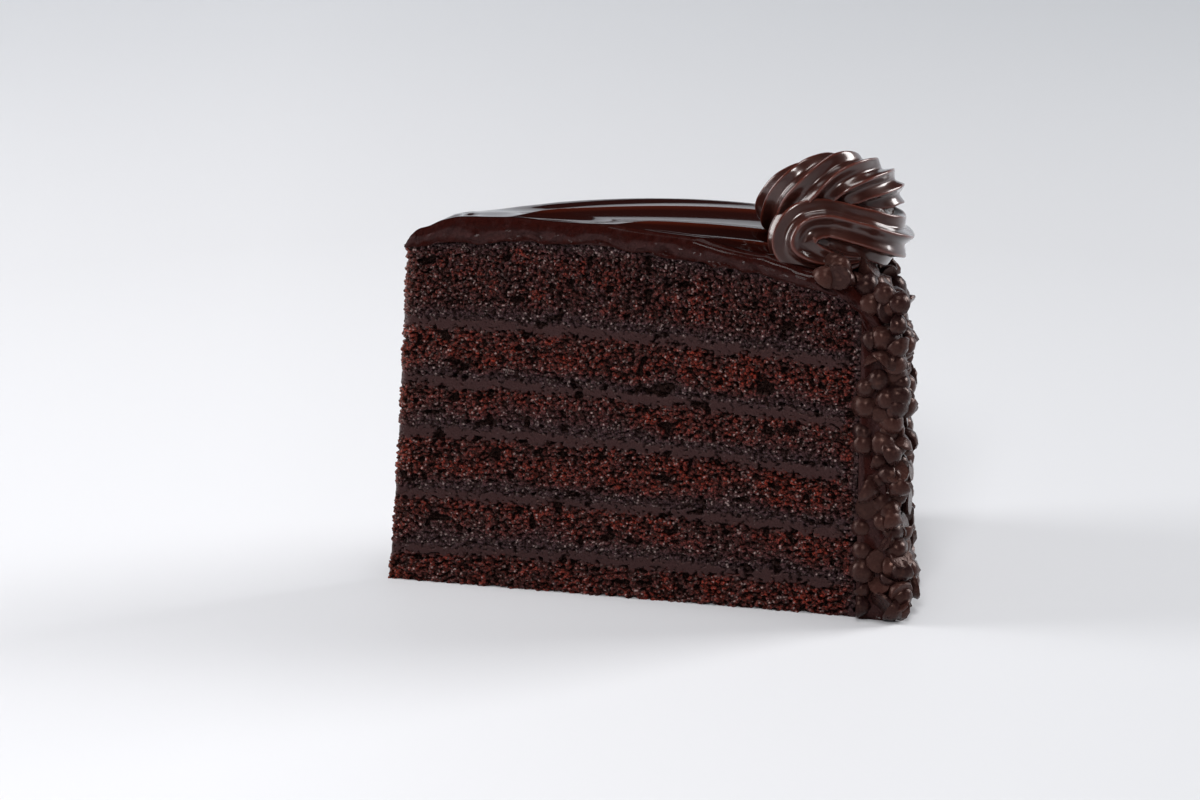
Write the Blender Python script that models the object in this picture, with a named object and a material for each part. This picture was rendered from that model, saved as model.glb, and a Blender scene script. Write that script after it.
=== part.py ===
# A slice of chocolate layer cake: a tenth of a round cake, as cut, with six sponge layers, five
# fillings, an icing that runs over the top and down the rim, chips on the rim, and one piped rosette.
#
# Metres, +Z up. The slice stands on z = 0. +X runs from the tip to the rim along the middle of the
# slice, and the origin is halfway between the cake's axis and the tops of the chips.

import math

import bmesh
import bpy
import numpy as np
from mathutils import Euler, Matrix, Vector

PART_NAME = "chocolate_cake_slice"

# The whole cake, and the cut
CAKE_RADIUS = 0.127
COAT_RADIUS = 0.1205
SPONGE_RADIUS = 0.114
HALF_ANGLE = math.radians(18.0)
AXIS_X = -CAKE_RADIUS / 2
GAP = 0.0003

# The tip is a narrow rounded nose, which leans back from the axis as it rises
NOSE_AT_BASE = 0.0018
NOSE_AT_ICING = 0.0074
ICING_LINE = 0.0805
NOSE_LEAN = 0.8

# Middle of each filling from the bottom up: its height near the tip, halfway and at the rim
FILLING_HEIGHTS = (
    (0.0078, 0.0087, 0.0077),
    (0.0220, 0.0220, 0.0199),
    (0.0369, 0.0369, 0.0337),
    (0.0492, 0.0491, 0.0462),
    (0.0636, 0.0630, 0.0602),
)
FILLING_THICKNESS = 0.0037
HEIGHT_RADII = (0.010, 0.058, 0.108)
UNEVEN_HEIGHT = 0.00035
UNEVEN_LENGTH = 0.021

# Crowns of the sponge and of the icing: height, radius of the highest ring, and fall in 1/m
SPONGE_CROWN = (0.0842, 0.045, 1.96)
ICING_CROWN = (0.0903, 0.035, 1.94)
SPONGE_SHOULDER = (0.005, 0.005)
ICING_SHOULDER = (0.015, 0.012)
TIP_ROUNDING = (0.014, 0.0058)
BACK_FALL = 0.0032
BACK_FALL_RADII = (0.040, 0.095)

# Strokes of the palette knife: a fan of crests, at these angles in degrees as seen from where it begins
STROKE_HEIGHT = 0.0016
STROKE_START = (-0.1385, -0.048)
STROKE_CRESTS = (-4.0, 0.5, 4.3, 7.2, 9.7, 13.8, 20.5, 27.0, 36.0)
STROKE_RADII = (0.024, 0.044, 0.098, 0.107)
STROKE_EDGE = (0.006, 0.25)

# The foot of the coat, where it spreads on what the cake stood on
FOOT_FLARE = 0.0028
FOOT_HEIGHT = 0.030

# Chips
CHIP_RADIUS = 0.0031
CHIP_HEIGHT = 0.0043
CHIP_SIDES = 6
CHIP_TAPER = 0.66
CHIP_SPACING = (0.0065, 0.0060)
CHIP_JITTER = 0.0012
CHIP_LIFT = (0.0002, 0.0033)
EDGE_INSET = (0.0018, 0.0028)
EDGE_SPACING = 0.0056
CHIP_SIZE = (0.88, 1.12)
CHIP_REACH = 0.0034
CHIP_SEED = 11

# The rosette: a star-shaped rope. It is laid to the left along the front as a hook, folds back over
# itself there, and coils round and up to the top.
ROSETTE_PLACE = (0.0410, -0.0150)
ROSETTE_BASE = 0.0795
ROPE_RIDGES = 8
ROPE_RADIUS = 0.0064
ROPE_GROOVE = 0.71
ROPE_STEP = 0.0022
ROPE_END = 0.0060
ROPE_TIP = 0.17
ROPE_STRAIGHT = 0.028
ROPE_TWIST = -100.0
ROPE_FULLER = 1.15
HOOK_ROUTE = (
    (0.0070, -0.0085, 0.0030),
    (-0.0020, -0.0102, 0.0036),
    (-0.0090, -0.0095, 0.0052),
    (-0.0125, -0.0078, 0.0082),
)
COIL_ROUTE = (
    (-0.0132, -0.0072, 0.0092),
    (-0.0085, -0.0075, 0.0118),
    (0.0000, -0.0092, 0.0116),
    (0.0080, -0.0085, 0.0085),
    (0.0125, -0.0020, 0.0066),
    (0.0105, 0.0070, 0.0066),
    (0.0020, 0.0115, 0.0078),
    (-0.0080, 0.0090, 0.0098),
    (-0.0108, 0.0012, 0.0136),
    (-0.0072, -0.0044, 0.0176),
    (-0.0008, -0.0052, 0.0197),
    (0.0060, -0.0028, 0.0187),
    (0.0108, 0.0022, 0.0156),
    (0.0122, 0.0070, 0.0115),
)
CORE_PLACE = (0.0, 0.0005, 0.0085)
CORE_RADII = (0.0105, 0.0100, 0.0095)
CORE_FACES = (14, 9)

# Edges sharper than this look sharp, and points closer than this are one
SHARP_ANGLE = math.radians(40.0)
MERGE_DISTANCE = 0.00001

# Faces along and across each skin
LAYER_GRID = (8, 6)
ICING_GRID = (26, 20)
ICING_SPLIT = (0.69, 0.85)
BED_STEPS = (9, 23)
BED_MARGIN = 3


def nose_point(side, height):
    """Point of the rounded tip at a height; side runs from -1 to 1 between the cut faces."""
    rise = max(height, 0.0) / ICING_LINE
    reach = NOSE_AT_BASE + (NOSE_AT_ICING - NOSE_AT_BASE) * rise**NOSE_LEAN
    spread = math.sin(HALF_ANGLE)
    radius = reach * spread / (1 - spread)
    angle = math.pi - side * (math.pi / 2 - HALF_ANGLE)
    return np.array((radius / spread + radius * math.cos(angle), radius * math.sin(angle)))


def rim_point(side, radius):
    angle = side * HALF_ANGLE
    return radius * np.array((math.cos(angle), math.sin(angle)))


def plan_point(side, along, radius, height):
    """Point between the nose, at along 0, and the rim, at along 1, from the cake's axis."""
    return (1 - along) * nose_point(side, height) + along * rim_point(side, radius)


def crown(radius, shape):
    top, ring, fall = shape
    return top - fall * (radius - ring) ** 2


def shoulder_drop(radius, edge, shoulder):
    """Fall of a rounded edge that ends at the radius edge."""
    width, depth = shoulder
    reach = min(max((radius - edge + width) / width, 0.0), 1.0)
    return depth * (1 - math.sqrt(1 - reach * reach))


def unevenness(x, y, level):
    """Low, smooth waves, different on each level of the cake."""
    first = math.sin(x / UNEVEN_LENGTH * 2 * math.pi + 1.7 * level)
    second = math.sin((0.6 * x + y) / UNEVEN_LENGTH * 3.1 + 2.9 * level)
    return UNEVEN_HEIGHT * (first + second) / 2


def filling_height(radius, x, y, level):
    """Height of a filling's middle: a parabola through its three heights, and the waves."""
    curve = np.polyfit(HEIGHT_RADII, FILLING_HEIGHTS[level], 2)
    return float(np.polyval(curve, radius)) + unevenness(x, y, level)


def sponge_top(radius):
    return crown(radius, SPONGE_CROWN) - shoulder_drop(radius, SPONGE_RADIUS, SPONGE_SHOULDER)


def stroke_relief(x, y, radius):
    """Crests left by the palette knife: sharp above, round below, low at their ends and at the cuts."""
    angle = math.degrees(math.atan2(y - STROKE_START[1], AXIS_X + x - STROKE_START[0]))
    place = float(np.interp(angle, STROKE_CRESTS, range(len(STROKE_CRESTS))))
    crest = 1 - abs(math.sin(math.pi * place))
    fade = float(np.interp(radius, STROKE_RADII, (0.0, 1.0, 1.0, 0.0)))
    width, least = STROKE_EDGE
    from_cut = radius * (HALF_ANGLE - abs(math.atan2(y, x)))
    fade *= float(np.interp(from_cut, (0.0, width), (least, 1.0)))
    return STROKE_HEIGHT * fade * (crest - 0.45)


def back_drop(radius, x, y):
    """Fall of the top from the front cut to the back cut, near the tip."""
    backwards = (math.atan2(y, x) / HALF_ANGLE + 1) / 2 if radius > NOSE_AT_BASE else 0.5
    return BACK_FALL * backwards * float(np.interp(radius, BACK_FALL_RADII, (1.0, 0.0)))


def icing_top(radius, x, y):
    """Height of the icing's top at a point given from the cake's axis."""
    width, depth = TIP_ROUNDING
    near_tip = min(max(1 - (radius - NOSE_AT_ICING) / width, 0.0), 1.0)
    height = crown(radius, ICING_CROWN) - depth * near_tip**2
    height -= shoulder_drop(radius, COAT_RADIUS, ICING_SHOULDER) + back_drop(radius, x, y)
    return height + stroke_relief(x, y, radius)


def skin_point(side, along, edge, shoulder, height_at, foot):
    """Point on a skin that runs over the top, round the shoulder and down the wall to z = 0."""
    over_top, round_shoulder = ICING_SPLIT
    start = edge - shoulder[0]
    if along <= over_top:
        x, y = plan_point(side, along / over_top, start, height_at(NOSE_AT_ICING, NOSE_AT_ICING, 0.0))
        return AXIS_X + x, y, height_at(math.hypot(x, y), x, y)
    turn = min((along - over_top) / (round_shoulder - over_top), 1.0) * math.pi / 2
    radius = start + shoulder[0] * math.sin(turn)
    x, y = rim_point(side, radius)
    height = height_at(radius, x, y)
    if along > round_shoulder:
        height *= (1 - along) / (1 - round_shoulder)
        flare = foot * max(1 - height / FOOT_HEIGHT, 0.0) ** 2
        x, y = rim_point(side, radius + flare)
    return AXIS_X + x, y, height


def icing_outside(side, along):
    return skin_point(side, along, COAT_RADIUS, ICING_SHOULDER, icing_top, FOOT_FLARE)


def icing_inside(side, along):
    def height_at(radius, x, y):
        return sponge_top(radius - GAP) + GAP

    return skin_point(side, along, SPONGE_RADIUS + GAP, SPONGE_SHOULDER, height_at, 0.0)


def layer_skin(height_at):
    """Skin of a layer inside the coat; the steps close up towards the rounded edge."""

    def skin(side, along):
        spread = math.sin(along * math.pi / 2)
        x, y = plan_point(side, spread, SPONGE_RADIUS, height_at(NOSE_AT_ICING, 0.0, 0.0))
        return AXIS_X + x, y, height_at(math.hypot(x, y), x, y)

    return skin


def loft_between(name, lower, upper, grid):
    """Closed body between two skins, each a function of side and along."""
    bm = bmesh.new()
    bmesh.ops.create_grid(bm, x_segments=grid[0], y_segments=grid[1], size=0.5)
    copied = bmesh.ops.extrude_face_region(bm, geom=bm.faces[:])["geom"]
    above = {v for v in copied if isinstance(v, bmesh.types.BMVert)}
    for vert in bm.verts:
        skin = upper if vert in above else lower
        vert.co = skin(2 * vert.co.y, vert.co.x + 0.5)
    bmesh.ops.triangulate(bm, faces=bm.faces[:])
    bmesh.ops.recalc_face_normals(bm, faces=bm.faces[:])
    mesh = bpy.data.meshes.new(name)
    bm.to_mesh(mesh)
    bm.free()
    return bpy.data.objects.new(name, mesh)


def make_material(name, colour, roughness):
    material = bpy.data.materials.new(name)
    material.use_nodes = True
    shader = material.node_tree.nodes["Principled BSDF"]
    shader.inputs["Base Color"].default_value = (*colour, 1.0)
    shader.inputs["Roughness"].default_value = roughness
    shader.inputs["Metallic"].default_value = 0.0
    return material


def add_part(part, collection, colour, roughness):
    collection.objects.link(part)
    part.data.materials.clear()
    part.data.materials.append(make_material(part.name + "_finish", colour, roughness))


def evaluated_mesh(source):
    bpy.context.view_layer.update()
    shown = source.evaluated_get(bpy.context.evaluated_depsgraph_get())
    return bpy.data.meshes.new_from_object(shown)


def body_of(face, seen):
    """Faces joined to a face through edges that two faces share."""
    body = []
    waiting = [face]
    seen.add(face)
    while waiting:
        current = waiting.pop()
        body.append(current)
        for edge in current.edges:
            if len(edge.link_faces) != 2:
                continue
            for other in edge.link_faces:
                if other not in seen:
                    seen.add(other)
                    waiting.append(other)
    return body


def keep_largest_body(part):
    """Applies the modifiers, drops sealed hollows and loose scraps, and closes pinholes."""
    mesh = evaluated_mesh(part)
    part.modifiers.clear()
    part.data = mesh
    bm = bmesh.new()
    bm.from_mesh(mesh)
    bmesh.ops.remove_doubles(bm, verts=bm.verts[:], dist=MERGE_DISTANCE)
    bmesh.ops.dissolve_degenerate(bm, edges=bm.edges[:], dist=MERGE_DISTANCE)
    bmesh.ops.triangulate(bm, faces=bm.faces[:])
    seen = set()
    bodies = [body_of(face, seen) for face in bm.faces if face not in seen]
    largest = set(max(bodies, key=len))
    spare = [face for face in bm.faces if face not in largest]
    bmesh.ops.delete(bm, geom=spare, context="FACES")
    wires = [edge for edge in bm.edges if not edge.link_faces]
    bmesh.ops.delete(bm, geom=wires, context="EDGES")
    rims = [edge for edge in bm.edges if len(edge.link_faces) == 1]
    patches = bmesh.ops.holes_fill(bm, edges=rims)["faces"]
    bmesh.ops.triangulate(bm, faces=patches)
    bmesh.ops.recalc_face_normals(bm, faces=bm.faces[:])
    bm.to_mesh(mesh)
    bm.free()


def smooth_route(points):
    """Points a step apart on a smooth curve through the given points (Catmull-Rom)."""
    given = np.array((*ROSETTE_PLACE, ROSETTE_BASE)) + np.array(points)
    padded = np.vstack((2 * given[0] - given[1], given, 2 * given[-1] - given[-2]))
    length = np.linalg.norm(np.diff(given, axis=0), axis=1).sum()
    route = []
    for place in np.linspace(0.0, len(given) - 1, round(length / ROPE_STEP)):
        first = min(int(place), len(given) - 2)
        t = place - first
        a, b, c, d = padded[first : first + 4]
        bend = 2 * b + (c - a) * t + (2 * a - 5 * b + 4 * c - d) * t**2
        route.append((bend + (3 * b - a - 3 * c + d) * t**3) / 2)
    return np.array(route)


def star_profile():
    """Star-shaped cross-section of the rope, as a closed curve."""
    curve = bpy.data.curves.new("rope_profile", "CURVE")
    curve.dimensions = "2D"
    spline = curve.splines.new("POLY")
    spline.points.add(2 * ROPE_RIDGES - 1)
    for number, point in enumerate(spline.points):
        angle = math.pi * number / ROPE_RIDGES
        radius = ROPE_RADIUS * (ROPE_GROOVE if number % 2 else 1.0)
        point.co = (radius * math.cos(angle), radius * math.sin(angle), 0.0, 1.0)
    spline.use_cyclic_u = True
    return bpy.data.objects.new("rope_profile", curve)


def rope_swell(from_start, from_end, fuller):
    """Thickness of a rope along its length: round ends, and fuller towards its end."""
    nearest = min(from_start, from_end) / ROPE_END
    round_end = max(math.sqrt(1 - (1 - min(nearest, 1.0)) ** 2), ROPE_TIP)
    return round_end * (1 + (fuller - 1) * (from_start / (from_start + from_end)) ** 2)


def make_rope(name, points, fuller, profile):
    """A rope as one closed mesh, swept along its route."""
    route = smooth_route(points)
    steps = np.linalg.norm(np.diff(route, axis=0), axis=1)
    lengths = np.concatenate(([0.0], np.cumsum(steps)))
    curve = bpy.data.curves.new(name, "CURVE")
    curve.dimensions = "3D"
    curve.bevel_mode = "OBJECT"
    curve.bevel_object = profile
    curve.use_fill_caps = True
    spline = curve.splines.new("POLY")
    spline.points.add(len(route) - 1)
    for point, place, length in zip(spline.points, route, lengths):
        point.co = (*place, 1.0)
        point.radius = rope_swell(length, lengths[-1] - length, fuller)
        point.tilt = ROPE_TWIST * max(length - ROPE_STRAIGHT, 0.0)
    swept = bpy.data.objects.new(name, curve)
    bpy.context.scene.collection.objects.link(swept)
    mesh = evaluated_mesh(swept)
    bpy.data.objects.remove(swept)
    bm = bmesh.new()
    bm.from_mesh(mesh)
    bmesh.ops.remove_doubles(bm, verts=bm.verts[:], dist=MERGE_DISTANCE)
    bmesh.ops.triangulate(bm, faces=bm.faces[:])
    bmesh.ops.recalc_face_normals(bm, faces=bm.faces[:])
    bm.to_mesh(mesh)
    bm.free()
    return bpy.data.objects.new(name, mesh)


def make_core():
    """What fills the middle of the coil."""
    bm = bmesh.new()
    bmesh.ops.create_uvsphere(bm, u_segments=CORE_FACES[0], v_segments=CORE_FACES[1], radius=1.0)
    place = Vector((*ROSETTE_PLACE, ROSETTE_BASE)) + Vector(CORE_PLACE)
    bm.transform(Matrix.LocRotScale(place, None, Vector(CORE_RADII)))
    mesh = bpy.data.meshes.new("rosette_core")
    bm.to_mesh(mesh)
    bm.free()
    return bpy.data.objects.new("rosette_core", mesh)


def make_bed():
    """Body whose top lies a gap above the icing, on the icing's own grid, to cut the rosette's seat."""
    first, last = BED_STEPS
    steps = last - first
    columns = ICING_GRID[1] + 2 * BED_MARGIN

    def top(side, along):
        here = icing_outside(side * columns / ICING_GRID[1], (first + along * steps) / ICING_GRID[0])
        return here[0], here[1], here[2] + GAP

    def bottom(side, along):
        x, y, height = top(side, along)
        return x, y, height - CAKE_RADIUS

    return loft_between("rosette_bed", bottom, top, (steps, columns))


def hide_cutter(cutter, collection):
    collection.objects.link(cutter)
    cutter.hide_render = True
    cutter.display_type = "WIRE"


def add_boolean(part, operation, cutter):
    modifier = part.modifiers.new(cutter.name, "BOOLEAN")
    modifier.operation = operation
    modifier.object = cutter
    modifier.use_self = operation == "UNION"


def make_rosette(collection, cutters):
    profile = star_profile()
    hide_cutter(profile, cutters)
    rosette = make_rope("rosette", COIL_ROUTE, ROPE_FULLER, profile)
    add_part(rosette, collection, (0.055, 0.017, 0.012), 0.35)
    hook = make_rope("rosette_hook", HOOK_ROUTE, 1.0, profile)
    core = make_core()
    bed = make_bed()
    for cutter, operation in ((core, "UNION"), (hook, "UNION"), (bed, "DIFFERENCE")):
        hide_cutter(cutter, cutters)
        add_boolean(rosette, operation, cutter)
    keep_largest_body(rosette)


def chip_mesh():
    """One chip: a flat base, a steep side and a blunt tip."""
    bm = bmesh.new()
    bmesh.ops.create_cone(
        bm,
        cap_ends=True,
        segments=CHIP_SIDES,
        radius1=CHIP_RADIUS,
        radius2=CHIP_TAPER * CHIP_RADIUS,
        depth=CHIP_HEIGHT / 2,
    )
    top = max(bm.faces, key=lambda face: face.calc_center_median().z)
    tip = bmesh.ops.poke(bm, faces=[top])["verts"][0]
    tip.co.z = 3 * CHIP_HEIGHT / 4
    bmesh.ops.recalc_face_normals(bm, faces=bm.faces[:])
    mesh = bpy.data.meshes.new("chip")
    bm.to_mesh(mesh)
    bm.free()
    return mesh


def coat_frame(side, rise):
    """Point on the coat's outside and the direction out of it; rise runs from 0 at the foot to 1."""
    step = 0.002
    along = 1 - rise * (1 - ICING_SPLIT[0])
    up = Vector(icing_outside(side, along - step)) - Vector(icing_outside(side, along + step))
    round_rim = Vector(icing_outside(side + step, along)) - Vector(icing_outside(side - step, along))
    return Vector(icing_outside(side, along)), round_rim.cross(up).normalized()


def coat_lengths():
    """Lengths up the coat from its foot, and the share of the way up that each stands for."""
    shares = np.linspace(0.0, 1.0, 60)
    points = np.array([icing_outside(0.0, 1 - share * (1 - ICING_SPLIT[0])) for share in shares])
    steps = np.linalg.norm(np.diff(points, axis=0), axis=1)
    return np.concatenate(([0.0], np.cumsum(steps))), shares


def sponge_outline():
    """Points of the sponge's outside under the coat, as radius and height."""
    top = sponge_top(SPONGE_RADIUS)
    over = [(radius, sponge_top(radius)) for radius in np.linspace(0.8, 1.0, 60) * SPONGE_RADIUS]
    down = [(SPONGE_RADIUS, height) for height in np.linspace(0.0, top, 60)]
    return np.array(over + down)


def wall_spots(rng, length):
    """Spots for chips on the coat: rows from the foot upwards, every other row half a step along."""
    columns = int(2 * HALF_ANGLE * COAT_RADIUS / CHIP_SPACING[0])
    jitter = 2 * CHIP_JITTER / (2 * HALF_ANGLE * COAT_RADIUS)
    for row in range(int(length / CHIP_SPACING[1])):
        for column in range(columns):
            step = (column + 0.3 + 0.4 * (row % 2)) / columns
            side = 2 * step - 1 + rng.uniform(-jitter, jitter)
            height = CHIP_RADIUS + row * CHIP_SPACING[1] + rng.uniform(-CHIP_JITTER, CHIP_JITTER)
            yield side, height, rng.uniform(*CHIP_LIFT)


def edge_spots(rng, length):
    """Spots for chips on the coat's cut edges."""
    for side in (-1.0, 1.0):
        for row in range(int(length / EDGE_SPACING)):
            height = CHIP_RADIUS + row * EDGE_SPACING + rng.uniform(-CHIP_JITTER, CHIP_JITTER)
            yield side, height, -rng.uniform(*EDGE_INSET)


def chip_places(rng):
    """Centres, turns and sizes of the chips, apart from those that would touch the rosette."""
    route = np.vstack((smooth_route(HOOK_ROUTE), smooth_route(COIL_ROUTE)))
    clearance = ROPE_RADIUS * ROPE_FULLER + CHIP_REACH * CHIP_SIZE[1]
    sponge = sponge_outline()
    lengths, shares = coat_lengths()
    top = lengths[-1] - CHIP_RADIUS
    places = []
    for side, height, lift in (*wall_spots(rng, top), *edge_spots(rng, top)):
        here, outward = coat_frame(side, float(np.interp(height, lengths, shares)))
        turn = Euler(rng.uniform(-math.pi, math.pi, 3))
        size = rng.uniform(*CHIP_SIZE)
        above_sponge = np.linalg.norm(sponge - (math.hypot(here.x - AXIS_X, here.y), here.z), axis=1)
        centre = here + outward * max(lift, CHIP_REACH * size + GAP - above_sponge.min())
        centre.z = max(centre.z, CHIP_REACH * CHIP_SIZE[1] + GAP)
        if np.linalg.norm(route - np.array(centre), axis=1).min() > clearance:
            places.append((centre, turn, size))
    return places


def fuse_chips(icing):
    """Joins the chips to the coat with one union on their collection."""
    chips = bpy.data.collections.new("chips")
    bpy.context.scene.collection.children.link(chips)
    mesh = chip_mesh()
    for number, (centre, turn, size) in enumerate(chip_places(np.random.default_rng(CHIP_SEED))):
        chip = bpy.data.objects.new(f"chip_{number}", mesh)
        chip.location = centre
        chip.rotation_euler = turn
        chip.scale = (size, size, size)
        chips.objects.link(chip)
    union = icing.modifiers.new("chips", "BOOLEAN")
    union.operation = "UNION"
    union.operand_type = "COLLECTION"
    union.collection = chips
    keep_largest_body(icing)
    for chip in list(chips.objects):
        bpy.data.objects.remove(chip)
    bpy.data.collections.remove(chips)


def make_icing(collection):
    icing = loft_between("icing", icing_inside, icing_outside, ICING_GRID)
    add_part(icing, collection, (0.030, 0.010, 0.008), 0.22)
    fuse_chips(icing)


def layer_bounds():
    """Name, lower skin and upper skin of every layer from the bottom up."""
    half = FILLING_THICKNESS / 2
    count = len(FILLING_HEIGHTS)

    def beside_filling(level, offset):
        def height_at(radius, x, y):
            return filling_height(radius, x, y, level) + offset

        return layer_skin(height_at)

    floor = layer_skin(lambda radius, x, y: 0.0)
    roof = layer_skin(lambda radius, x, y: sponge_top(radius))
    for level in range(count + 1):
        below = floor if level == 0 else beside_filling(level - 1, half + GAP)
        above = roof if level == count else beside_filling(level, -half - GAP)
        yield f"sponge_{level + 1}", below, above
    for level in range(count):
        yield f"filling_{level + 1}", beside_filling(level, -half), beside_filling(level, half)


def make_layers(collection):
    for name, below, above in layer_bounds():
        layer = loft_between(name, below, above, LAYER_GRID)
        if name.startswith("sponge"):
            add_part(layer, collection, (0.062, 0.020, 0.014), 0.85)
        else:
            add_part(layer, collection, (0.030, 0.014, 0.014), 0.55)


def main():
    for old in list(bpy.data.objects):
        bpy.data.objects.remove(old)
    parts = bpy.data.collections.new(PART_NAME)
    cutters = bpy.data.collections.new("cutters")
    for collection in (parts, cutters):
        bpy.context.scene.collection.children.link(collection)
    make_layers(parts)
    make_icing(parts)
    make_rosette(parts, cutters)
    for part in parts.objects:
        part.data.shade_smooth()
        part.data.set_sharp_from_angle(angle=SHARP_ANGLE)


main()
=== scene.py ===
import math

import bpy
import numpy as np
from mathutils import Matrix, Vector


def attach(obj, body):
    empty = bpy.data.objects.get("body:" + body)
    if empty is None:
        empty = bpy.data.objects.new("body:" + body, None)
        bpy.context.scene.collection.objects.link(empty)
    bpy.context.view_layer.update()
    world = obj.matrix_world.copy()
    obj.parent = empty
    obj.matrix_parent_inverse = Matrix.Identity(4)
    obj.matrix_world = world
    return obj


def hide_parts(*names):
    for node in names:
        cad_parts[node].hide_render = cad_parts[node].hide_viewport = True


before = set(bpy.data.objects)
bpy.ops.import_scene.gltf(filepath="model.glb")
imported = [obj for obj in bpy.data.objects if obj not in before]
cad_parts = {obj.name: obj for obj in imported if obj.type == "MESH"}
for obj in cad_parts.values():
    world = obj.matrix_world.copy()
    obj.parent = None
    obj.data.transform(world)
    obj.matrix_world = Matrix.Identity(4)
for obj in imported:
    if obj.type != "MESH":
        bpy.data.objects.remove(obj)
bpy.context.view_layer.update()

# A slice of chocolate layer cake. Every shape is worked out in millimetres from the cake's axis, where the
# tip is, and meshUnit turns it to metres. The slice's middle line runs along +X and the cake stands on z = 0.
meshUnit = 0.001
body = "root"
print("frame loaded:", len(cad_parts), "nodes")


# Numbers and noise

def softStep(value):
    # 0 below 0, 1 above 1, and a smooth S between them
    value = np.clip(value, 0.0, 1.0)
    return value * value * (3 - 2 * value)


def softNoise(across, up, cell, seed):
    # random numbers on the corners of square cells, blended inside each cell with the smooth S; -1 to 1
    lattice = np.random.default_rng(seed).uniform(-1, 1, (256, 256))
    across, up = np.broadcast_arrays(across / cell, up / cell)
    column, row = np.floor(across).astype(int), np.floor(up).astype(int)
    right, above = softStep(across - column), softStep(up - row)
    column, row, nextColumn, nextRow = column % 256, row % 256, (column + 1) % 256, (row + 1) % 256
    below = lattice[column, row] * (1 - right) + lattice[nextColumn, row] * right
    over = lattice[column, nextRow] * (1 - right) + lattice[nextColumn, nextRow] * right
    return below * (1 - above) + over * above


def waves(across, up, parts, seed):
    # soft noises of several heights and lengths, added up
    return sum(rise * softNoise(across, up, cell, seed + i) for i, (rise, cell) in enumerate(parts))


def lumpField(across, up, cell, sizes, seed):
    # every cell holds one ball at a random place, with its own radius and depth; for each point the height
    # of the highest ball over it, in cells, -1 where there is none, and that ball's random number
    table = np.random.default_rng(seed).uniform(0, 1, (5, 256, 256))
    across, up = np.broadcast_arrays(across / cell, up / cell)
    column, row = np.floor(across).astype(int), np.floor(up).astype(int)
    height, owner = np.full(across.shape, -1.0), np.full(across.shape, 0.5)
    for stepAcross in (-1, 0, 1):
        for stepUp in (-1, 0, 1):
            i, j = column + stepAcross, row + stepUp
            spot = table[:, i % 256, j % 256]
            size = sizes[0] + (sizes[1] - sizes[0]) * spot[2]
            inside = size ** 2 - (i + spot[0] - across) ** 2 - (j + spot[1] - up) ** 2
            ball = np.where(inside > 0, np.sqrt(np.maximum(inside, 0)) - 0.6 * spot[3], -1.0)
            owner = np.where(ball > height, spot[4], owner)
            height = np.maximum(height, ball)
    return height, owner


def fullTurn(count):
    return np.arange(count) / count * 2 * math.pi


def unit(vectors):
    return vectors / np.maximum(np.linalg.norm(vectors, axis=-1, keepdims=True), 1e-9)


def lengthsAlong(points):
    # the way from a line's start to each of its points
    return np.concatenate(([0.0], np.cumsum(np.linalg.norm(np.diff(points, axis=0), axis=1))))


# The slice's form, in millimetres, as the solids have it

sliceForm = {
    "halfAngle": math.radians(18.0),
    "axisX": -63.5,                  # the cake's axis, from the frame's origin
    "coatRadius": 120.5,
    "spongeRadius": 114.0,
    "noseAtBase": 1.8,               # the tip's reach from the axis, at the base and under the icing
    "noseAtIcing": 7.4,
    "icingLine": 80.5,
    "noseLean": 0.8,
    "fillingMiddles": ((7.8, 8.7, 7.7), (22.0, 22.0, 19.9), (36.9, 36.9, 33.7), (49.2, 49.1, 46.2),
                       (63.6, 63.0, 60.2)),
    "middleRadii": (10.0, 58.0, 108.0),
    "fillingThickness": 3.7,
    "waveHeight": 0.35,
    "waveLength": 21.0,
    "spongeCrown": (84.2, 45.0, 0.00196),    # height, radius of the highest ring, fall
    "icingCrown": (90.3, 35.0, 0.00194),
    "spongeShoulder": (5.0, 5.0),            # width and depth
    "icingShoulder": (15.0, 12.0),
    "tipRounding": (14.0, 5.8),
    "backFall": 3.2,
    "backFallRadii": (40.0, 95.0),
    "footFlare": 2.8,
    "footHeight": 30.0,
}


def nosePoint(side, height):
    # a round nose between the cut faces, at side -1 and 1, that leans back as it rises
    rise = np.maximum(height, 0.0) / sliceForm["icingLine"]
    low, high = sliceForm["noseAtBase"], sliceForm["noseAtIcing"]
    reach = low + (high - low) * rise ** sliceForm["noseLean"]
    spread = math.sin(sliceForm["halfAngle"])
    radius = reach * spread / (1 - spread)
    angle = math.pi - side * (math.pi / 2 - sliceForm["halfAngle"])
    return radius / spread + radius * np.cos(angle), radius * np.sin(angle)


def planPoint(side, along, radius, height):
    # a share of the way from the nose, along 0, to the rim's arc, along 1
    noseX, noseY = nosePoint(side, height)
    angle = side * sliceForm["halfAngle"]
    x, y = radius * np.cos(angle), radius * np.sin(angle)
    return (1 - along) * noseX + along * x, (1 - along) * noseY + along * y


def crown(radius, form):
    top, ring, fall = form
    return top - fall * (radius - ring) ** 2


def shoulderDrop(radius, edge, shoulder):
    # a quarter of an ellipse, level at first and upright at the edge
    width, depth = shoulder
    reach = np.clip((radius - edge + width) / width, 0.0, 1.0)
    return depth * (1 - np.sqrt(1 - reach ** 2))


def fillingMiddle(x, y, level):
    # a parabola through the filling's three heights, and low waves
    curve = np.polyfit(sliceForm["middleRadii"], sliceForm["fillingMiddles"][level], 2)
    first = np.sin(x / sliceForm["waveLength"] * 2 * math.pi + 1.7 * level)
    second = np.sin((0.6 * x + y) / sliceForm["waveLength"] * 3.1 + 2.9 * level)
    return np.polyval(curve, np.hypot(x, y)) + sliceForm["waveHeight"] * (first + second) / 2


def spongeTop(x, y):
    radius = np.hypot(x, y)
    return crown(radius, sliceForm["spongeCrown"]) - shoulderDrop(
        radius, sliceForm["spongeRadius"], sliceForm["spongeShoulder"])


# Meshes

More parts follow.
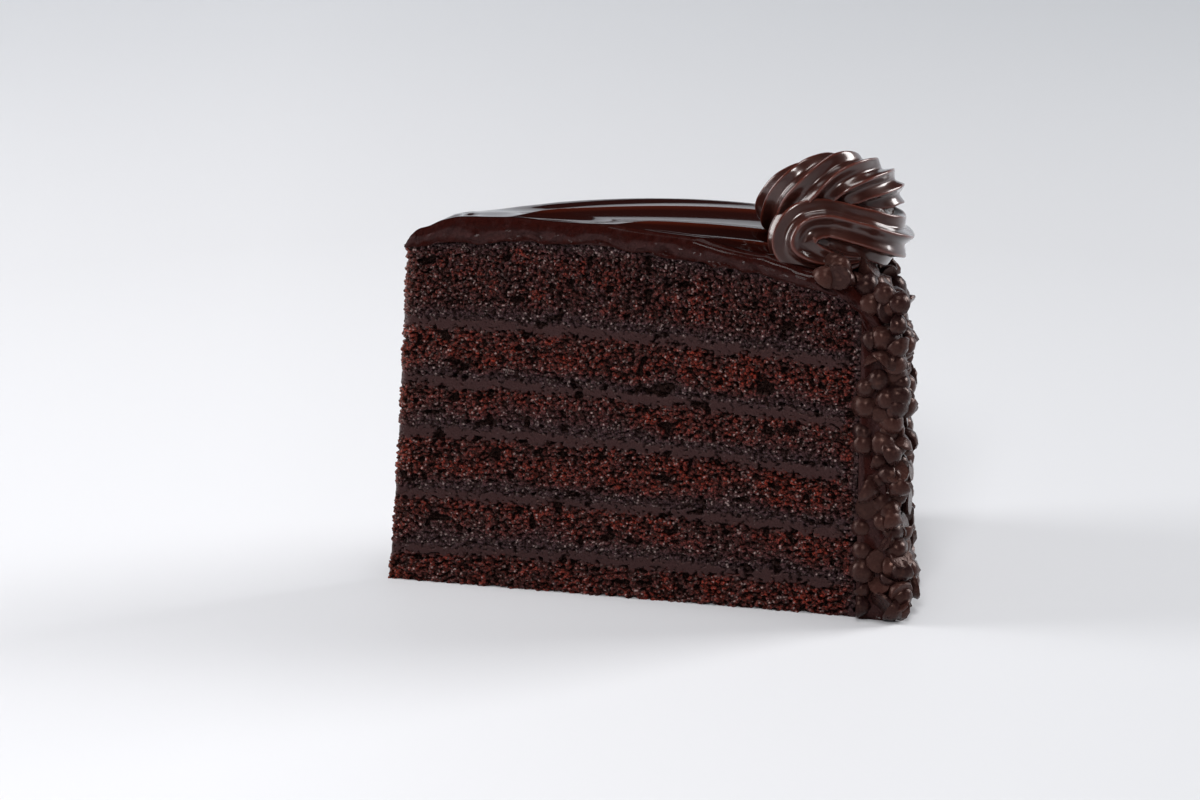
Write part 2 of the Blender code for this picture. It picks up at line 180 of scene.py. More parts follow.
def gridFaces(rows, columns, first=0, closed=False):
    # two triangles for every four neighbours of a grid that is stored row after row
    across = columns if closed else columns - 1
    row, column = np.meshgrid(np.arange(rows - 1), np.arange(across), indexing="ij")
    beside = (column + 1) % columns
    a, b = first + row * columns + column, first + row * columns + beside
    c, d = b + columns, a + columns
    return np.concatenate((np.stack((a, b, c), -1).reshape(-1, 3), np.stack((a, c, d), -1).reshape(-1, 3)))


def stitchFaces(fine, coarse):
    # joins a row of many points to a row of few that starts and ends with it
    share = np.arange(len(fine)) * (len(coarse) - 1) / (len(fine) - 1)
    owner = np.round(share).astype(int)
    fans = np.stack((fine[:-1], fine[1:], coarse[owner[:-1]]), -1)
    step = owner[1:] != owner[:-1]
    joins = np.stack((fine[1:][step], coarse[owner[1:][step]], coarse[owner[:-1][step]]), -1)
    return np.concatenate((fans, joins))


def weld(points, faces, values):
    # points at one place become one point, and triangles that lose a side are dropped
    keys = np.round(points / 0.0005).astype(np.int64)
    first, owner = np.unique(keys, axis=0, return_index=True, return_inverse=True)[1:]
    faces = owner.reshape(-1)[faces]
    whole = (faces[:, 0] != faces[:, 1]) & (faces[:, 1] != faces[:, 2]) & (faces[:, 2] != faces[:, 0])
    return points[first], faces[whole], {name: value[first] for name, value in values.items()}


def makePiece(name, points, faces, values=None):
    # a mesh from arrays in millimetres, turned so that its volume is positive and its faces point outwards
    points, faces, values = weld(points, faces, values or {})
    corners = points[faces]
    if np.einsum("ij,ij->", corners[:, 0], np.cross(corners[:, 1], corners[:, 2])) < 0:
        faces = faces[:, ::-1]
    places = (points + (sliceForm["axisX"], 0, 0)) * meshUnit
    mesh = bpy.data.meshes.new(name)
    mesh.vertices.add(len(places))
    mesh.vertices.foreach_set("co", places.ravel())
    mesh.loops.add(faces.size)
    mesh.loops.foreach_set("vertex_index", faces.ravel())
    mesh.polygons.add(len(faces))
    mesh.polygons.foreach_set("loop_start", np.arange(0, faces.size, 3))
    for key, value in values.items():
        mesh.attributes.new(key, "FLOAT", "POINT").data.foreach_set("value", value.astype(np.float32))
    mesh.update(calc_edges=True)
    mesh.validate()
    mesh.shade_smooth()
    piece = bpy.data.objects.new(name, mesh)
    bpy.context.scene.collection.objects.link(piece)
    return piece


def finishPiece(piece, material, slot, *nodes):
    piece.data.materials.append(material)
    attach(piece, body)
    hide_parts(*nodes)
    print(piece.name, len(piece.data.polygons), "triangles")


# Materials

def linear(code):
    # sRGB hex to linear light, by the sRGB curve
    shares = [int(code[i:i + 2], 16) / 255 for i in (1, 3, 5)]
    return tuple(s / 12.92 if s <= 0.04045 else ((s + 0.055) / 1.055) ** 2.4 for s in shares) + (1.0,)


def addNode(tree, kind, settings=None, links=None):
    node = tree.nodes.new(kind)
    for key, value in (settings or {}).items():
        if isinstance(key, int) or key in node.inputs:
            node.inputs[key].default_value = value
        else:
            setattr(node, key, value)
    for key, source in (links or {}).items():
        tree.links.new(source, node.inputs[key])
    return node


def startMaterial(name):
    material = bpy.data.materials.new(name)
    material.use_nodes = True
    tree = material.node_tree
    tree.nodes.clear()
    place = addNode(tree, "ShaderNodeTexCoord").outputs["Object"]
    return material, tree, place


def endMaterial(tree, settings, links):
    shader = addNode(tree, "ShaderNodeBsdfPrincipled", settings, links)
    addNode(tree, "ShaderNodeOutputMaterial", links={"Surface": shader.outputs["BSDF"]})


def perMetre(millimetres):
    # the scale of a pattern whose features are this far apart
    return 1 / (millimetres * meshUnit)


crumbFinish = {
    # the near-black pore colour is painted shade, laid into the gaps between granules and the deep hollows
    "red": "#8b2e1f", "brown": "#532c2a", "film": "#423135", "poreShade": "#070101", "filling": "#2e1e1f",
    # the glint colour is a painted highlight on the palest granules
    "thin": "#97432d", "paintedGlint": "#b39d98", "sheen": "#cb9b8f",
    "granule": 0.55, "grit": 0.35, "gritDepth": 0.00025,
}


def bakedCrumb():
    # chocolate sponge, baked and cut: moist red-brown granules with near-black painted shade in the gaps
    # and hollows, a few painted pale glints, a grey film where the knife has dragged filling over the crumb,
    # and a painted glow of lighter red where light comes through the thin tip
    material, tree, place = startMaterial("bakedChocolateCrumb")
    # the lighter red near the tip is a painted glow, as if light came through the thin crumb
    redness, smear, thin, depth, cover = (
        addNode(tree, "ShaderNodeAttribute", {"attribute_name": name}).outputs["Fac"]
        for name in ("redness", "smear", "tipGlow", "crumbDepth", "cover"))
    granule = addNode(tree, "ShaderNodeTexVoronoi", {"Scale": perMetre(crumbFinish["granule"])},
                      {"Vector": place})
    grit = addNode(tree, "ShaderNodeTexNoise", {"Scale": perMetre(crumbFinish["grit"]), "Detail": 2.0},
                   {"Vector": place}).outputs["Fac"]
    film, paintedGlint, granuleGapShade, deepShade, bare = (
        addNode(tree, "ShaderNodeMapRange", limits, {"Value": source}).outputs[0] for limits, source in (
            ({"From Min": 0.1, "From Max": 0.8}, smear),
            # painted highlight: the palest granules are drawn as pale glints
            ({"From Min": 0.76, "From Max": 0.82, "To Max": 0.6}, granule.outputs["Color"]),
            # painted shade: near-black between the granules and where the crumb lies deep
            ({"From Min": 0.30, "From Max": 0.65, "To Max": 0.9}, granule.outputs["Distance"]),
            ({"From Min": 0.30, "From Max": 0.80}, depth),
            ({"To Min": 1.0, "To Max": 0.25}, cover)))
    colour = addNode(tree, "ShaderNodeMix", {"data_type": "RGBA", 6: linear(crumbFinish["brown"]),
                                             7: linear(crumbFinish["red"])}, {0: redness}).outputs[2]
    for share, over in ((film, "film"), (thin, "thin"), (paintedGlint, "paintedGlint"), (granuleGapShade, "poreShade"), (deepShade, "poreShade"),
                        (cover, "filling")):
        colour = addNode(tree, "ShaderNodeMix", {"data_type": "RGBA", 7: linear(crumbFinish[over])},
                         {0: share, 6: colour}).outputs[2]
    height = addNode(tree, "ShaderNodeMath", {"operation": "SUBTRACT"},
                     {0: grit, 1: granule.outputs["Distance"]}).outputs[0]
    height = addNode(tree, "ShaderNodeMath", {"operation": "MULTIPLY"}, {0: height, 1: bare}).outputs[0]
    bump = addNode(tree, "ShaderNodeBump", {"Strength": 1.0, "Distance": crumbFinish["gritDepth"]},
                   {"Height": height}).outputs["Normal"]
    rough = addNode(tree, "ShaderNodeMapRange", {"From Min": 0.35, "From Max": 0.65, "To Min": 0.22,
                                                 "To Max": 0.42}, {"Value": grit}).outputs[0]
    endMaterial(tree, {"IOR": 1.4, "Specular IOR Level": 0.5, "Specular Tint": linear(crumbFinish["sheen"])},
                {"Base Color": colour, "Roughness": rough, "Normal": bump})
    return material


# Cut faces: one field of crumb, smear and filling runs over all layers, and each layer shows its part of it

cutFace = {
    "step": 0.22,                    # between points, about a pixel of the render
    "stretch": (1.5, 1.15),          # lumps are wider than high, less so in the top layer
    "lump": 0.76, "lumpSizes": (0.38, 0.70), "lumpHeight": 1.05,
    "behind": 0.7, "behindSunk": 0.65,
    "fine": 0.45, "fineSizes": (0.35, 0.7), "fineHeight": 0.22,
    "cavity": 2.0, "cavityRagged": (0.5, 1.3), "cavityFrom": 0.64, "cavityEdge": 0.3,
    "cavityDepths": (1.4, 0.6),      # how far its front lumps sink, and everything in it
    "sunk": 0.25, "deepest": -1.7, "highest": 0.7,
    "smearReach": 3.5,               # height of the grey film above a filling
    "filmed": (0.70, 0.17),          # lumps above this random number are filmed, more in the top layer
    "icingSmear": 2.3,               # depth of the film under the icing
    "patch": 9.0,                    # how far apart the film grows and shrinks
    "wander": ((0.5, 4.5), (0.35, 1.2)),     # heights and lengths of the waves on a filling's edges
    "rimStrip": 3.4,                 # fillings end this far from the coat
    "rimWander": (2.0, 3.0),
    "rimDrag": (1.6, 2.4),           # width of the dark strip dragged along the coat, and its waves
    "fillingRough": 0.14, "fillingWaves": (1.3, 2.7),
    "redness": 0.38, "topRedness": -0.14, "grainRedness": 0.9, "redPatches": ((0.38, 5.5), (0.4, 1.9)),
    "thinReach": 1.6,                # how far from the tip light comes through
    "capMiddle": (70.0, 0.0), "capShares": (0.04, 0.3, 0.65, 1.0),
}


def crumbRelief(around, up, stretch):
    # balls of crumb, more of them deeper in the gaps, small ones on them all, cavities where noise is high
    front, owner = lumpField(around / stretch, up, cutFace["lump"], cutFace["lumpSizes"], 3)
    back, backOwner = lumpField(around / stretch, up, cutFace["behind"], cutFace["lumpSizes"], 7)
    fine, fineOwner = lumpField(around / stretch, up, cutFace["fine"], cutFace["fineSizes"], 4)
    share, cell = cutFace["cavityRagged"]
    noise = softNoise(around / stretch, up, cutFace["cavity"], 5) + share * softNoise(around, up, cell, 6)
    cavity = softStep((noise - cutFace["cavityFrom"]) / cutFace["cavityEdge"])
    frontDepth, allDepth = cutFace["cavityDepths"]
    front = cutFace["lumpHeight"] * front - frontDepth * cavity
    back = cutFace["lumpHeight"] * back - cutFace["behindSunk"]
    relief = np.maximum(front, back) + cutFace["fineHeight"] * fine - cutFace["sunk"]
    grain = 0.6 * np.where(front > back, owner, backOwner) + 0.4 * fineOwner
    return relief - allDepth * cavity, grain


def cutField(around, z, x, y):
    # relief out of the cut face in mm, and what the colours need
    radius = np.hypot(x, y)
    inTop = z > fillingMiddle(x, y, 4)
    stretch = np.where(inTop, cutFace["stretch"][1], cutFace["stretch"][0])
    crumb, grain = crumbRelief(around, z, stretch)
    patch = softNoise(around, z, cutFace["patch"], 13)
    wander = waves(around, z, cutFace["wander"], 11)
    half = sliceForm["fillingThickness"] / 2
    inside, smear = np.full(z.shape, -9.0), np.zeros(z.shape)
    for level in range(len(sliceForm["fillingMiddles"])):
        offset = z - fillingMiddle(x, y, level)
        inside = np.maximum(inside, half - 0.2 - np.abs(offset) + wander)
        above = np.maximum(offset - half, 0.0) / (cutFace["smearReach"] * (1.1 + 0.8 * patch))
        smear = np.maximum(smear, np.exp(-above ** 2) * (offset > 0))
    under = np.maximum(spongeTop(x, y) - z, 0.0) / (cutFace["icingSmear"] * (1.1 + 0.7 * patch))
    smear = np.maximum(smear, np.exp(-under ** 2))
    rise, cell = cutFace["rimWander"]
    toRim = sliceForm["spongeRadius"] - radius - cutFace["rimStrip"] + rise * softNoise(around, z, cell, 14)
    smear = smear * softStep(toRim / 3 + 1)
    width, cell = cutFace["rimDrag"]
    dragged = softStep(1.4 - (sliceForm["spongeRadius"] - radius) / (width + softNoise(around, z, cell, 19)))
    smear = np.maximum(smear, dragged)
    cover = softStep(np.minimum(inside, toRim) / 1.1 + 0.35 + 0.8 * crumb)
    cover = np.maximum(cover, dragged * softStep(0.6 + crumb))
    film = crumb * (1 - 0.3 * smear) + 0.1 * smear
    streaks, swells = cutFace["fillingWaves"]
    smooth = softNoise(around / 3, z, streaks, 15) + 0.7 * softNoise(around, z, swells, 16)
    smooth = cutFace["fillingRough"] * smooth
    relief = np.clip(film * (1 - cover) + (smooth - 0.15) * cover, cutFace["deepest"], cutFace["highest"])
    filmed = softStep((grain - cutFace["filmed"][0] + cutFace["filmed"][1] * inTop) / 0.15 + 0.5 * patch)
    redness = cutFace["redness"] + cutFace["topRedness"] * inTop + cutFace["grainRedness"] * (grain - 0.5)
    redness = redness + waves(around, z, cutFace["redPatches"], 17)
    # painted glow: lighter red near the tip, as if light came through the thin crumb
    thin = np.exp(-np.maximum(radius - sliceForm["noseAtBase"] - 0.07 * z, 0) / cutFace["thinReach"])
    # the crumb's depth is used to paint shade into its hollows
    return relief, {"crumbDepth": np.clip(0.25 - relief / 1.5, 0, 1), "redness": np.clip(redness, 0, 1),
                    "smear": np.maximum(smear * (0.7 + 0.3 * grain), 0.7 * filmed), "cover": cover,
                    "tipGlow": 0.5 * thin * (1 - cover)}


def sliceOutline():
    # once round the slice: front cut from the rim to the nose, the nose, the back cut and the rim
    face = round(sliceForm["spongeRadius"] / cutFace["step"])
    nose, rim = 18, 36
    ahead = np.arange(face) / face
    side = np.concatenate((np.full(face, -1.0), np.linspace(-1, 1, nose, False), np.ones(face),
                           np.linspace(1, -1, rim, False)))
    along = np.concatenate((1 - ahead, np.zeros(nose), ahead, np.ones(rim)))
    x, y = planPoint(side, along, sliceForm["spongeRadius"], sliceForm["icingLine"] / 2)
    steps = np.hypot(np.roll(x, -1) - x, np.roll(y, -1) - y)
    around = np.concatenate(([0.0], np.cumsum(steps)[:-1]))
    onRim = np.arange(len(side)) >= 2 * face + nose
    return side, along, around, onRim, x, y


def layerPiece(name, lower, upper):
    # a wall of rows from the lower to the upper skin, pushed in and out by the cut field, and closed below
    # and above by rings that shrink to one point
    side, along, around, onRim, x, y = sliceOutline()
    low, high = lower(x, y), upper(x, y)
    rows = max(3, round(float(np.median(high - low)) / cutFace["step"]) + 1)
    z = low + np.linspace(0, 1, rows)[:, None] * (high - low)
    x, y = planPoint(side, along, sliceForm["spongeRadius"], z)
    tangentX, tangentY = np.roll(x, -1, 1) - np.roll(x, 1, 1), np.roll(y, -1, 1) - np.roll(y, 1, 1)
    length = np.hypot(tangentX, tangentY)
    relief, values = cutField(around[None, :] + 0 * z, z, x, y)
    relief = np.where(onRim, 0.0, relief)
    x, y = x - relief * tangentY / length, y + relief * tangentX / length
    shares = np.array(cutFace["capShares"])[:, None]
    middleX, middleY = cutFace["capMiddle"]
    caps = []
    for edge, skin in ((0, lower), (-1, upper)):
        capX, capY = x[edge] + shares * (middleX - x[edge]), y[edge] + shares * (middleY - y[edge])
        caps.append(np.stack((capX, capY, skin(capX, capY)), -1))
    points = np.concatenate((caps[0][::-1], np.stack((x, y, z), -1), caps[1]))
    spread = {key: np.concatenate((np.repeat(value[:1], len(shares), 0), value,
                                   np.repeat(value[-1:], len(shares), 0))).ravel()
              for key, value in values.items()}
    return makePiece(name, points.reshape(-1, 3), gridFaces(len(points), len(side), closed=True), spread)


def makeLayers():
    crumb = bakedCrumb()
    half = sliceForm["fillingThickness"] / 2
    count = len(sliceForm["fillingMiddles"])

    def beside(level, offset):
        return lambda x, y: fillingMiddle(x, y, level) + offset

    for level in range(count + 1):
        lower = (lambda x, y: 0.0 * x) if level == 0 else beside(level - 1, half)
        upper = spongeTop if level == count else beside(level, -half)
        piece = layerPiece(f"spongeLayer{level + 1}", lower, upper)
        finishPiece(piece, crumb, "sponge", f"sponge_{level + 1}")
    for level in range(count):
        piece = layerPiece(f"fillingLayer{level + 1}", beside(level, -half), beside(level, half))
        finishPiece(piece, crumb, "filling", f"filling_{level + 1}")


makeLayers()
print("layers made")


# Icing: it runs over the top, round the shoulder and down the rim

icingForm = {
    "strokeHeight": 1.6, "strokeStart": (-75.0, -48.0), "strokeRadii": (24.0, 44.0, 98.0, 107.0),
    "strokeCrests": (-4.0, 0.5, 4.3, 7.2, 9.7, 13.8, 20.5, 27.0, 36.0),     # degrees about the start
    "strokeEdge": (6.0, 0.25),       # within this far of a cut they are lower, down to this share
    "frontDip": (9.0, 0.9), "dipRadii": (9.0, 20.0, 48.0, 75.0),      # width and depth
    "tipLumps": (3.2, 0.5, 28.0),    # size, height and reach from the axis
    "split": (0.69, 0.85),           # shares of the skin over the top and round the shoulder
    "rows": (300, 40, 34),
    "columns": 181, "innerColumns": 16, "edgeRows": 17,
    "edgeRounding": 2.0,
    "edgeLumps": ((0.6, 2.6), (0.32, 1.0)),  # heights and lengths of the lumps on the cut edge
    "lip": 0.45, "lipGrowth": 30.0,  # the cut edge stands this proud, from a thirtieth of the way on
    "lipDrop": 1.3,                  # and hangs over the crumb by about this much times its waves
    "lipLevel": 0.45, "lipWaves": ((0.35, 9.0), (0.3, 3.0)),
    # the first share is where the cut gets its painted sheen, the second where real film lies at the crumb
    "paintedSheenAt": 0.35, "filmAgain": 0.85,       # shares of the way in
}


def strokeRelief(x, y, radius):
    # a fan of strokes with a crest at each of the angles, sharp above and round below, fading at both ends
    startX, startY = icingForm["strokeStart"]
    crests = icingForm["strokeCrests"]
    place = np.interp(np.degrees(np.arctan2(y - startY, x - startX)), crests, np.arange(len(crests)))
    crest = 1 - np.abs(np.sin(math.pi * place)) ** 0.9
    fade = softStep(np.interp(radius, icingForm["strokeRadii"], (0, 1, 1, 0)))
    width, least = icingForm["strokeEdge"]
    fromCut = radius * (sliceForm["halfAngle"] - np.abs(np.arctan2(y, x)))
    fade = fade * (least + (1 - least) * softStep(fromCut / width))
    return icingForm["strokeHeight"] * fade * (crest - 0.45), crest * fade


def icingTop(x, y):
    radius = np.hypot(x, y)
    width, depth = sliceForm["tipRounding"]
    nearTip = np.clip(1 - (radius - sliceForm["noseAtIcing"]) / width, 0, 1)
    backwards = (np.arctan2(y, x) / sliceForm["halfAngle"] + 1) / 2
    fall = sliceForm["backFall"] * backwards * np.interp(radius, sliceForm["backFallRadii"], (1, 0))
    height = crown(radius, sliceForm["icingCrown"]) - depth * nearTip ** 2 - fall
    height = height - shoulderDrop(radius, sliceForm["coatRadius"], sliceForm["icingShoulder"])
    # the top dips to the front cut behind the tip, and small lumps lie beside the tip
    toFront = radius * (np.arctan2(y, x) + sliceForm["halfAngle"])
    width, depth = icingForm["frontDip"]
    window = softStep(np.interp(radius, icingForm["dipRadii"], (0, 1, 1, 0)))
    dip = depth * softStep(1 - toFront / width) * window
    size, rise, reach = icingForm["tipLumps"]
    lumps = rise * softNoise(x, y, size, 27) * softStep((reach - radius) / 10)
    return height + strokeRelief(x, y, radius)[0] + lumps - dip


def coatSkin(side, along, edge, shoulder, heightAt, flare):
    # over the top to the shoulder, round it by a quarter turn, and down the wall to z = 0
    overTop, roundShoulder = icingForm["split"]
    start = edge - shoulder[0]
    noseHeight = heightAt(np.array(sliceForm["noseAtIcing"]), np.array(0.0))
    turn = np.clip((along - overTop) / (roundShoulder - overTop), 0, 1) * math.pi / 2
    radius = start + shoulder[0] * np.sin(turn)
    x, y = planPoint(side, np.clip(along / overTop, 0, 1), start, noseHeight)
    angle = side * sliceForm["halfAngle"]
    onTop = along <= overTop
    x, y = np.where(onTop, x, radius * np.cos(angle)), np.where(onTop, y, radius * np.sin(angle))
    z = heightAt(x, y)
    down = np.clip((along - roundShoulder) / (1 - roundShoulder), 0, 1)
    z = z * (1 - down)
    grow = 1 + (down > 0) * flare * np.maximum(1 - z / sliceForm["footHeight"], 0) ** 2 / edge
    return np.stack((x * grow, y * grow, z), -1)


def edgeReach(side, skin):
    # 0 on the top and 1 at the cut edge, where the rounding of the edge ends
    acrossCut = (1 - np.abs(side)) * np.hypot(skin[..., 0], skin[..., 1]) * sliceForm["halfAngle"]
    return np.clip(1 - acrossCut / icingForm["edgeRounding"], 0, 1)


def outerSkin(side, along):
    side, along = np.broadcast_arrays(side, along)
    skin = coatSkin(side, along, sliceForm["coatRadius"], sliceForm["icingShoulder"], icingTop,
                    sliceForm["footFlare"])
    reach = edgeReach(side, skin)
    rounded = icingForm["edgeRounding"] * (1 - np.sqrt(1 - reach ** 2))
    skin[..., 2] -= rounded * (along < icingForm["split"][1])
    half = sliceForm["halfAngle"]
    outwards = icingForm["lip"] * reach ** 2 * np.minimum(along * icingForm["lipGrowth"], 1)
    skin[..., 0] -= outwards * math.sin(half)
    skin[..., 1] += outwards * math.cos(half) * np.sign(side)
    return skin


def innerSkin(side, along):
    side, along = np.broadcast_arrays(side, along)
    return coatSkin(side, along, sliceForm["spongeRadius"], sliceForm["spongeShoulder"], spongeTop, 0.0)


ganacheFinish = {
    # the film colour is partly painted sheen, a third of the way in, and partly real film at the crumb
    "top": "#220906", "crest": "#44160a", "cut": "#290e0b", "film": "#352120",
    "patch": 1.9, "lump": 1.2, "lumpDepth": 0.0014,
}


def spreadGanache():
    # chocolate ganache, spread while warm and set: near black, glossy on top, duller where it was cut, and
    # reddish where it is thin; on the cut, grey bands of painted sheen and, at the crumb, of real film
    material, tree, place = startMaterial("spreadChocolateGanache")
    cut, crest, sheenAndSmear = (addNode(tree, "ShaderNodeAttribute", {"attribute_name": name}).outputs["Fac"]
                        for name in ("cutShare", "crest", "sheenAndSmear"))
    patch, lumps = (
        addNode(tree, "ShaderNodeTexNoise", {"Scale": perMetre(ganacheFinish[size]), "Detail": detail},
                {"Vector": place}).outputs["Fac"] for size, detail in (("patch", 4.0), ("lump", 2.0)))
    sheenAndSmear = addNode(tree, "ShaderNodeMath", {"operation": "ADD"}, {0: sheenAndSmear, 1: patch}).outputs[0]
    thin, sheenAndSmear, shine = (
        addNode(tree, "ShaderNodeMapRange", limits, {"Value": source}).outputs[0] for limits, source in (
            ({"From Min": 0.55, "From Max": 1.0}, crest), ({"From Min": 0.5, "From Max": 1.1}, sheenAndSmear),
            ({"To Min": 1.0, "To Max": 0.1}, cut)))
    top, face = (
        addNode(tree, "ShaderNodeMix", {"data_type": "RGBA", 6: linear(ganacheFinish[low]),
                                        7: linear(ganacheFinish[high])}, {0: share}).outputs[2]
        for low, high, share in (("top", "crest", thin), ("cut", "film", sheenAndSmear)))
    colour = addNode(tree, "ShaderNodeMix", {"data_type": "RGBA"}, {0: cut, 6: top, 7: face}).outputs[2]
    height = addNode(tree, "ShaderNodeMath", {"operation": "MULTIPLY"}, {0: lumps, 1: cut}).outputs[0]
    bump = addNode(tree, "ShaderNodeBump", {"Strength": 0.8, "Distance": ganacheFinish["lumpDepth"]},
                   {"Height": height}).outputs["Normal"]
    endMaterial(tree, {"IOR": 1.4, "Specular IOR Level": 0.0, "Roughness": 0.4, "Coat Roughness": 0.08,
                       "Coat IOR": 1.36}, {"Base Color": colour, "Coat Weight": shine, "Normal": bump})
    return material


def cutBand(side, along):
    # rows from the outer to the inner skin, each up the front cut, round the nose and down the back cut;
    # lumps on them, a lip that hangs over the crumb, and the share of grey: painted sheen about a third of
    # the way in and a real film at the crumb
    pathSide = np.concatenate((np.full(len(along) - 1, -1.0), side, np.ones(len(along) - 1)))
    pathAlong = np.concatenate((along[:0:-1], np.zeros(len(side)), along[1:]))
    outPath, inPath = outerSkin(pathSide, pathAlong), innerSkin(pathSide, pathAlong)
    share = np.linspace(0, 1, icingForm["edgeRows"])[:, None, None]
    band = outPath * (1 - share) + inPath * share
    around = lengthsAlong(outPath)
    tangent = unit(np.gradient(outPath[:, :2], axis=0))
    half = sliceForm["halfAngle"]
    normal = np.stack((-tangent[:, 1], tangent[:, 0]), -1)
    normal[pathSide == -1] = (-math.sin(half), -math.cos(half))
    normal[pathSide == 1] = (-math.sin(half), math.cos(half))
    depth = share[..., 0]
    (slow, slowCell), (fast, fastCell) = icingForm["edgeLumps"]
    proud = slow * softNoise(around, depth * 6, slowCell, 21)
    proud = proud + fast * softNoise(around / 1.6, depth * 6, fastCell, 22)
    onCut = np.minimum(pathAlong * icingForm["lipGrowth"], 1)
    nearCrumb = softStep((1 - depth) * 9)
    inside = softStep(depth * 3) * nearCrumb
    proud = proud * inside + icingForm["lip"] * (onCut * (nearCrumb - 1 + depth) + (1 - onCut) * inside)
    band[..., :2] += proud[..., None] * normal
    drop = icingForm["lipDrop"] * (icingForm["lipLevel"] + waves(around, 0, icingForm["lipWaves"], 23))
    band[..., 2] -= drop * softStep(depth * 1.4) * nearCrumb * (pathAlong < icingForm["split"][1])
    # a painted sheen lies about a third of the way in, and a grey film again at the crumb
    reach = depth + 0.30 * softNoise(around, depth * 3, 5.5, 25)
    reach = reach + 0.10 * softNoise(around, depth * 9, 1.6, 26)
    film = 1 - np.abs(reach - icingForm["paintedSheenAt"]) / icingForm["paintedSheenAt"]
    return band, np.maximum(film, softStep((reach - icingForm["filmAgain"]) / 0.1))


def icingPiece():
    # three patches: the outer skin, the band of the cut edges and the nose, and a coarser inner skin; fans
    # of triangles join the fine and the coarse edge at the nose and at the foot
    overTop, roundShoulder = icingForm["split"]
    topRows, shoulderRows, wallRows = icingForm["rows"]
    along = np.concatenate((np.linspace(0, overTop, topRows, False),
                            np.linspace(overTop, roundShoulder, shoulderRows, False),
                            np.linspace(roundShoulder, 1, wallRows)))
    side = np.linspace(-1, 1, icingForm["columns"])
    coarse = side[::(icingForm["columns"] - 1) // (icingForm["innerColumns"] - 1)]
    outer = outerSkin(side[None, :], along[:, None])
    inner = innerSkin(coarse[None, :], along[:, None])
    band, film = cutBand(side, along)
    patches = (outer, band, inner)
    starts = np.concatenate(([0], np.cumsum([p.shape[0] * p.shape[1] for p in patches])))
    points = np.concatenate([p.reshape(-1, 3) for p in patches])
    rows, columns = len(along), len(coarse)
    noseBand = starts[2] - band.shape[1] + len(along) - 1 + np.arange(len(side))
    noseInner = starts[2] + np.arange(columns)
    footOuter = (rows - 1) * len(side) + np.arange(len(side))
    footInner = starts[2] + (rows - 1) * columns + np.arange(columns)
    footBand = starts[1] + band.shape[1] * np.arange(band.shape[0])
    faces = np.concatenate((
        gridFaces(rows, len(side)), gridFaces(*band.shape[:2], first=starts[1])[:, ::-1],
        gridFaces(rows, columns, first=starts[2])[:, ::-1],
        stitchFaces(noseBand, noseInner)[:, ::-1], stitchFaces(footOuter, footInner),
        stitchFaces(footBand, np.array((footOuter[0], footInner[0])))[:, ::-1],
        stitchFaces(footBand + band.shape[1] - 1, np.array((footOuter[-1], footInner[-1])))))
    crest = strokeRelief(outer[..., 0], outer[..., 1], np.hypot(outer[..., 0], outer[..., 1]))[1]
    cut = softStep(edgeReach(side[None, :], outer) * 2.2 - 0.1)
    cut = np.concatenate((cut.ravel(), np.ones(len(points) - cut.size)))
    crest = np.concatenate((crest.ravel(), np.zeros(len(points) - crest.size)))
    sheenAndSmear = np.zeros(len(points))
    sheenAndSmear[starts[1]:starts[2]] = film.ravel()
    return makePiece("icingCoat", points, faces, {"cutShare": cut, "crest": crest, "sheenAndSmear": sheenAndSmear})


finishPiece(icingPiece(), spreadGanache(), "icing", "icing")
print("icing made")


# Chips on the rim, the shoulder and the coat's cut edges

chipForm = {
    "radius": 3.1, "height": 3.6, "sides": 11,
    "profile": ((0.0, 0.0), (0.94, 0.0), (1.0, 0.14), (0.64, 0.64), (0.0, 1.0)),
    "middle": 0.38,                  # share of the height that sits at a chip's place
    "lean": 0.22,                    # the tip leans by up to this share of the height
    "sharp": 55.0,                   # degrees; the rim of the flat base is an edge
    # three layers: spacing, lift off the coat and tilt
    "layers": ((4.7, (-0.5, 0.7), 1.0), (5.2, (1.1, 2.3), 1.5), (7.5, (2.2, 3.2), 1.5)),
    "beyond": 1.0,                   # chips go this far past the cut edges
    "margins": (0.5, 3.0),           # bare coat at the foot and before the end over the shoulder
    "edgeColumns": ((115.8, 0.0), (119.2, 0.5), (122.4, 0.0)),      # distance from the axis, shift in rows
    "edgeHeights": (1.8, 77.0), "edgeSpacing": 4.9, "edgeLift": (-0.6, 1.2), "edgeTilt": 1.3,
    "edgeJitter": 1.1, "edgeMissing": 0.04,
    "facing": (0.35, 0.65),          # shares with the base and with the tip outwards
    "tries": 3000, "size": (0.84, 1.12), "stretch": (0.9, 1.08), "lowest": 0.15, "seed": 41,
}


def coatProfile():
    # the coat's outside in the middle of the slice, from the foot up over the shoulder: how far along it,
    # radius, height, and the direction out of it
    top = icingForm["split"][0] - 0.02
    skin = outerSkin(np.zeros(160), np.linspace(1, top, 160))
    length = lengthsAlong(skin)
    slope = np.gradient(skin, length, axis=0)
    return length, skin[:, 0], skin[:, 2], slope[:, 2], -slope[:, 0]


def scatter(rng, spacing, low, high):
    # throws spots on a flat strip and keeps each that is a spacing away from all kept before it
    kept = np.empty((0, 2))
    for spot in rng.uniform(low, high, (chipForm["tries"], 2)):
        if not len(kept) or np.hypot(*(kept - spot).T).min() > spacing:
            kept = np.vstack((kept, spot))
    return kept


def turned(directions, rng, tilt):
    # frames whose third axis is a direction tilted by up to an angle, with a random spin
    count = len(directions)
    sideways = unit(np.cross(directions, rng.normal(size=(count, 3))))
    angle = rng.uniform(0, tilt, count)[:, None]
    axis = directions * np.cos(angle) + sideways * np.sin(angle)
    first = unit(np.cross(axis, rng.normal(size=(count, 3))))
    return np.stack((first, np.cross(axis, first), axis), -1)


